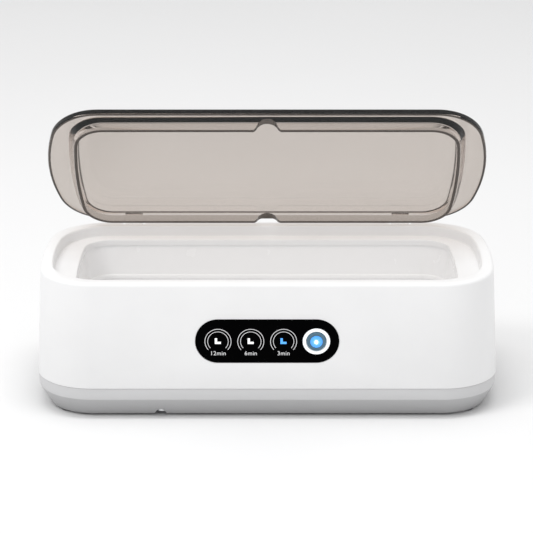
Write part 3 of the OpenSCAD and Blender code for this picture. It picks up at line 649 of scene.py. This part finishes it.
def paint_lid_tint_and_shade(piece, under, foot_z, top):
    """Stores the lid's surface colour: clear lip, smoky top, and painted shade: dark lines painted where
    edges lead light away, and a darker brown painted on the top's edge fillet.
    """
    clear, smoky, fillet = (0.97, 0.952, 0.94), (0.50, 0.445, 0.40), (0.46, 0.36, 0.30)
    # painted shade: dark on the notch faces, the lip foot, the plate's under edge and the lip root, and a
    # darker brown on the top's edge fillet
    dark, root = (0.012, 0.009, 0.007), (0.02, 0.016, 0.014)
    plate_edge = [Vector(p) for p in outline(LID_W, LID_D, LID_R, LID_BULGE)]
    root_edge = [Vector(p) for p in outline(LIP_W, LIP_D, LIP_R, LIP_BULGE, LIP_ROOT)]
    tint_and_painted_shade = piece.data.attributes.new("tint_and_painted_shade", "FLOAT_COLOR", "CORNER")
    points = [v.co / MM for v in piece.data.vertices]
    from_plate = [min((Vector((p.x, p.y)) - q).length for q in plate_edge) for p in points]
    from_root = [min((Vector((p.x, p.y)) - q).length for q in root_edge) for p in points]
    cut = [abs(p.x) < NOTCH_HALF_W and near_notch(p.x, p.z, foot_z) for p in points]
    for face in piece.data.polygons:
        on_cut = all(cut[i] for i in face.vertices)
        for corner, i in zip(face.loop_indices, face.vertices):
            z = points[i].z
            if on_cut or z < foot_z + 0.2:
                colour = dark
            elif under - 0.01 < z < under + 0.2 and from_plate[i] < 1.25:
                colour = dark
            elif under - 0.5 < z < under - 0.05 and from_root[i] < 1.0:
                colour = root
            elif z > top - 1.2 and from_plate[i] < 1.05:
                colour = fillet
            elif z > top - 1.2:
                colour = smoky
            else:
                colour = clear
            tint_and_painted_shade.data[corner].color = (*colour, 1)


def near_notch(x, z, foot_z):
    """True on the cut face of the half-round notches."""
    return min(math.hypot(x - a, z - b) for a, b in notch_outline(foot_z)) < 0.3


def notch_outline(foot_z):
    """Half-round notch with flared lower corners, open downwards."""
    r, flare = 5.0, 0.35
    top = arc(0, foot_z - 0.3, r, math.pi - flare, flare, 28)
    side_x = r * math.cos(flare) + 0.8
    right = [(side_x, foot_z + 0.55), (side_x + 0.6, foot_z + 0.12), (side_x + 1.4, foot_z - 0.1)]
    right.append((side_x + 1.4, foot_z - 3))
    return [(-x, z) for x, z in reversed(right)] + top + right


# ---- panel ----

def rounded_plate(flat_of, y_front, y_back, r, steps=5):
    """A plate standing upright whose front edge is rounded. flat_of(inset) gives its outline."""
    bm = bmesh.new()
    rows = []
    turn = [math.pi / 2 * i / steps for i in range(steps + 1)]
    profile = [(r - r * math.sin(a), y_front + r - r * math.cos(a)) for a in turn] + [(0, y_back)]
    for inset, y in profile:
        rows.append([bm.verts.new((x, y, z)) for x, z in flat_of(inset)])
    for near, far in zip(rows, rows[1:]):
        for k in range(len(near)):
            m = (k + 1) % len(near)
            bm.faces.new((near[k], near[m], far[m], far[k]))
    bm.faces.new(rows[0])
    bm.faces.new(list(reversed(rows[-1])))
    return bm


def panel():
    w, h = panel_high.x - panel_low.x, panel_high.z - panel_low.z
    bm = rounded_plate(lambda i: stadium(PANEL_X, PANEL_Z, w - 2 * i, h - 2 * i),
                       PANEL_FACE, PANEL_BACK, 0.3)
    made = raw_object(bm, "panel_glass")
    hole = prism(circle(BUTTON_X, PANEL_Z, RING_R + 0.1, 64), PANEL_FACE - 1, PANEL_BACK + 1)
    combine(made, [raw_object(hole)], "DIFFERENCE")
    smooth(made.data)
    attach(made, "casing")
    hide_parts("panel_lens")
    dress(made, BLACK)


def button():
    """Light ring, pressed cap and lit centre, each turned about the button's axis."""
    face_y, skirt_y, ring_y = cap_low.y, cap_high.y, ring_low.y
    ring_section = [(RING_R, ring_high.y), (RING_R, ring_y + 0.35), (RING_R - 0.1, ring_y + 0.1)]
    ring_section += [(RING_R - 0.35, ring_y), (4.75, ring_y), (4.5, ring_y + 0.1)]
    ring_section += [(4.4, ring_y + 0.35), (4.4, ring_high.y)]
    spin("light_ring", ring_section, "button_ring", HALO, "casing")
    cap_r, flange_r, skirt_r, stem_r, lens_r = 4.15, 4.9, 3.5, 1.2, 2.66
    stem_y, seat_y = mm_box("switch_plunger")[0].y, face_y + 1.0
    cap = [(flange_r, skirt_y), (flange_r, skirt_y - 0.5), (cap_r, skirt_y - 0.5)]
    cap += [(cap_r, face_y + 0.55), (4.0, face_y + 0.2), (3.7, face_y + 0.03), (3.4, face_y)]
    cap += [(2.95, face_y + 0.04), (2.72, face_y + 0.2), (2.7, seat_y), (0.0, seat_y)]
    cap += [(0.0, stem_y), (stem_r, stem_y), (stem_r, face_y + 2.0), (skirt_r, face_y + 2.0)]
    cap.append((skirt_r, skirt_y))
    spin("button_face", cap, "button_cap", TEAL, "button_body")
    rise, steps = 0.35, 8
    turn = [math.pi / 2 * i / steps for i in range(steps, 0, -1)]
    dome = [(lens_r * math.sin(a), lens_low.y + rise - rise * math.cos(a)) for a in turn]
    lens = [(lens_r, lens_high.y)] + dome + [(0.0, lens_low.y), (0.0, lens_high.y)]
    spin("button_light", lens, "button_lens", LIT, "button_body")


def spin(name, profile, node, material, body, steps=64):
    """A solid turned about the button's axis, from (radius, y) points that run round its section."""
    bm = bmesh.new()
    rows = []
    for i in range(steps):
        a = 2 * math.pi * i / steps
        cos, sin = math.cos(a), math.sin(a)
        rows.append([bm.verts.new((BUTTON_X + r * cos, y, PANEL_Z + r * sin)) for r, y in profile])
    for i in range(steps):
        here, there = rows[i], rows[(i + 1) % steps]
        for k in range(len(profile)):
            m = (k + 1) % len(profile)
            bm.faces.new((here[k], here[m], there[m], there[k]))
    bmesh.ops.remove_doubles(bm, verts=bm.verts, dist=0.0005)
    bmesh.ops.dissolve_degenerate(bm, edges=bm.edges, dist=0.0002)
    made = new_object(name, finish_mesh(bm, name, 40), body)
    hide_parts(node)
    dress(made, material)


def band(points, width, y0, y1):
    """A flat strip of the given width along points in X and Z, as a thin solid."""
    left, right = [], []
    for i, (x, z) in enumerate(points):
        ax, az = points[max(i - 1, 0)]
        bx, bz = points[min(i + 1, len(points) - 1)]
        length = math.hypot(bx - ax, bz - az)
        nx, nz = -(bz - az) / length * width / 2, (bx - ax) / length * width / 2
        left.append((x + nx, z + nz))
        right.append((x - nx, z - nz))
    return prism(left + list(reversed(right)), y0, y1)


def dial(name, x, label, hands):
    """One timer dial: two open rings, clock hands and its minutes, printed on the panel."""
    y0, y1 = PANEL_FACE - 0.03, PANEL_FACE + 0.02
    gap = math.radians(48)
    marks = []
    for r, width in ((5.6, 0.24), (4.4, 0.22)):
        line = arc(x, PANEL_Z, r, gap - math.pi / 2, 1.5 * math.pi - gap, 48)
        marks.append(band(line, width, y0, y1))
    join_marks(name + "_rings", marks, GREY_PRINT)
    left, low, reach, bar = x - 1.35, PANEL_Z - 1.1, 2.6, 1.0
    hand = [(left, low + reach), (left, low), (left + reach, low), (left + reach, low + bar)]
    hand += [(left + bar, low + bar), (left + bar, low + reach)]
    join_marks(name + "_hands", [prism(hand, y0, y1)], hands)
    text = bpy.data.curves.new(name + "_label", "FONT")
    text.body = label
    text.align_x, text.align_y = "CENTER", "BOTTOM_BASELINE"
    text.size = 2.65 * MM
    text.extrude = 0.025 * MM
    text.space_character = 1.05
    letters = bpy.data.objects.new(name + "_label", text)
    bpy.context.scene.collection.objects.link(letters)
    spot = Vector((x, PANEL_FACE - 0.005, PANEL_Z - 6.25)) * MM
    letters.matrix_world = Matrix.Translation(spot) @ Matrix.Rotation(math.pi / 2, 4, "X")
    bpy.context.view_layer.update()
    mesh = bpy.data.meshes.new_from_object(letters)
    mesh.transform(letters.matrix_world)
    bpy.data.objects.remove(letters, do_unlink=True)
    made = new_object(name + "_minutes", mesh, "casing")
    dress(made, GREY_PRINT)


def join_marks(name, parts, material):
    whole = bmesh.new()
    for part in parts:
        mesh = bpy.data.meshes.new("part")
        part.to_mesh(mesh)
        part.free()
        whole.from_mesh(mesh)
        bpy.data.meshes.remove(mesh)
    made = new_object(name, finish_mesh(whole, name), "casing")
    dress(made, material)


# ---- finishes for the parts that stay as the frame has them ----

def dress_nodes():
    """Gives every node its material, by the slot that the record names."""
    made = {
        "ring_white": HALO, "button_blue": TEAL, "lens_blue": LIT, "panel_black": BLACK,
        "white_abs": WHITE, "grey_abs": GREY, "tank_enamel": ENAMEL, "smoke_clear": SMOKE,
    }
    # slot, name, colour, shift, roughness, grain in mm, grain depth in mm
    plastics = (
        ("silicone", "clear_silicone", (0.82, 0.82, 0.81), 0.02, (0.4, 0.55), 0.8, 0.01),
        ("ceramic", "fired_ceramic", (0.70, 0.65, 0.52), 0.04, (0.5, 0.7), 0.4, 0.01),
        ("epoxy", "cured_glue", (0.60, 0.47, 0.26), 0.05, (0.2, 0.35), 2.0, 0.02),
        ("red_wire", "red_insulation", (0.55, 0.03, 0.02), 0.02, (0.35, 0.45), 0.6, 0.01),
        ("black_wire", "black_insulation", (0.02, 0.02, 0.02), 0.005, (0.35, 0.45), 0.6, 0.01),
        ("circuit_board", "solder_mask", (0.02, 0.20, 0.07), 0.02, (0.25, 0.4), 1.5, 0.01),
        ("black_epoxy", "black_moulding", (0.022, 0.022, 0.023), 0.006, (0.4, 0.55), 0.4, 0.006),
        ("ferrite", "ferrite", (0.06, 0.06, 0.065), 0.02, (0.55, 0.75), 0.5, 0.02),
        ("yellow_tape", "winding_tape", (0.72, 0.48, 0.05), 0.04, (0.2, 0.3), 1.0, 0.01),
        ("red_film", "dipped_film", (0.42, 0.05, 0.03), 0.03, (0.2, 0.3), 1.5, 0.01),
        ("capacitor_sleeve", "capacitor_sleeve", (0.02, 0.03, 0.12), 0.01, (0.2, 0.3), 1.5, 0.005),
        ("nylon", "natural_nylon", (0.80, 0.77, 0.66), 0.03, (0.4, 0.5), 0.6, 0.008),
        ("ribbon_grey", "ribbon_cable", (0.50, 0.50, 0.52), 0.03, (0.4, 0.5), 0.8, 0.01),
        ("led_white", "white_led", (0.85, 0.82, 0.62), 0.03, (0.15, 0.25), 0.6, 0.004),
        ("led_blue", "blue_led", (0.45, 0.66, 0.92), 0.03, (0.15, 0.25), 0.6, 0.004),
        ("foam_tape", "foam_tape", (0.10, 0.10, 0.10), 0.03, (0.8, 0.95), 0.3, 0.03),
        ("foot_rubber", "foot_rubber", (0.10, 0.10, 0.105), 0.02, (0.7, 0.85), 0.4, 0.02),
    )
    for slot, *look in plastics:
        made[slot] = moulded(*look)
    # slot, name, colour, shift, roughness, stretch, grain in mm, grain depth in mm
    metals = (
        ("plated_steel", "zinc_plate", (0.66, 0.67, 0.68), 0.05, (0.22, 0.36), (1, 1, 1), 1.2, 0.002),
        ("aluminium", "extruded_aluminium", (0.70, 0.71, 0.72), 0.04, (0.3, 0.45), (1, 1, 8), 2.0, 0.004),
        ("copper", "enamelled_copper", (0.72, 0.33, 0.16), 0.05, (0.2, 0.35), (1, 1, 1), 0.5, 0.01),
        ("pin_steel", "ground_pin", (0.72, 0.72, 0.73), 0.03, (0.15, 0.25), (12, 1, 1), 2.0, 0.001),
        ("brass", "brass", (0.80, 0.60, 0.26), 0.05, (0.2, 0.32), (1, 1, 1), 1.0, 0.002),
    )
    for slot, *look in metals:
        made[slot] = drawn_metal(*look)
    for part in frame["record"]["subparts"]:
        mesh = frame["nodes"][part["node"]].data
        mesh.materials.clear()
        mesh.materials.append(made[part["material_slot"]])


# ---- surroundings ----

def floor():
    bm = bmesh.new()
    bmesh.ops.create_grid(bm, x_segments=2, y_segments=2, size=4.0)
    mesh = bpy.data.meshes.new("floor")
    bm.to_mesh(mesh)
    bm.free()
    made = bpy.data.objects.new("floor", mesh)
    bpy.context.scene.collection.objects.link(made)
    shade = Shade("floor").set(Roughness=0.7, Specular_IOR_Level=0.2)
    shade.colours(shade.noise(300, 4), (0.78, 0.78, 0.782), (0.79, 0.79, 0.792))
    mesh.materials.append(shade.material)


def area_light(name, spot, aim, size, power, size_y=None):
    data = bpy.data.lights.new(name, "AREA")
    data.shape = "RECTANGLE"
    data.size, data.size_y = size, size_y or size
    data.energy = power
    made = bpy.data.objects.new(name, data)
    made.location = spot
    made.rotation_euler = (Vector(aim) - Vector(spot)).to_track_quat("-Z", "Y").to_euler()
    made.visible_glossy = made.visible_transmission = False
    bpy.context.scene.collection.objects.link(made)


def studio():
    world = bpy.data.worlds.new("studio")
    bpy.context.scene.world = world
    world.use_nodes = True
    back = world.node_tree.nodes["Background"]
    back.inputs["Color"].default_value = (1.0, 1.0, 1.0, 1)
    back.inputs["Strength"].default_value = 0.80
    area_light("key", (-0.75, -0.55, 1.25), (0, 0, 0.04), 0.5, 5.5)
    area_light("top_front", (0.1, -0.9, 1.1), (0, 0, 0.05), 0.9, 1.0)
    area_light("overhead", (0, -0.18, 1.41), (0, -0.02, 0.08), 0.9, 6.5, 0.25)
    bpy.context.scene.view_settings.view_transform = "Standard"


def camera():
    """The photograph's view: nearly level, a little above the rim, with a long lens."""
    elevation, distance, focal = math.radians(19.5), 0.892, 133.9
    aim = Vector((0, 0, 0.036))
    data = bpy.data.cameras.new("camera")
    data.lens, data.sensor_width = focal, 36.0
    data.shift_x, data.shift_y = -0.0013, 0.0749
    data.clip_start, data.clip_end = 0.05, 20.0
    made = bpy.data.objects.new("camera", data)
    made.location = aim + distance * Vector((0, -math.cos(elevation), math.sin(elevation)))
    made.rotation_euler = (math.pi / 2 - elevation, 0, 0)
    bpy.context.scene.collection.objects.link(made)
    bpy.context.scene.camera = made


camera()
studio()
floor()
dress_nodes()
casing()
base()
tank()
lid()
panel()
button()
for place, (minutes, hands) in enumerate(((12, PRINT), (6, PRINT), (3, BLUE_PRINT))):
    dial(f"dial_{minutes}", (place - 1.5) * DIAL_PITCH, f"{minutes}min", hands)
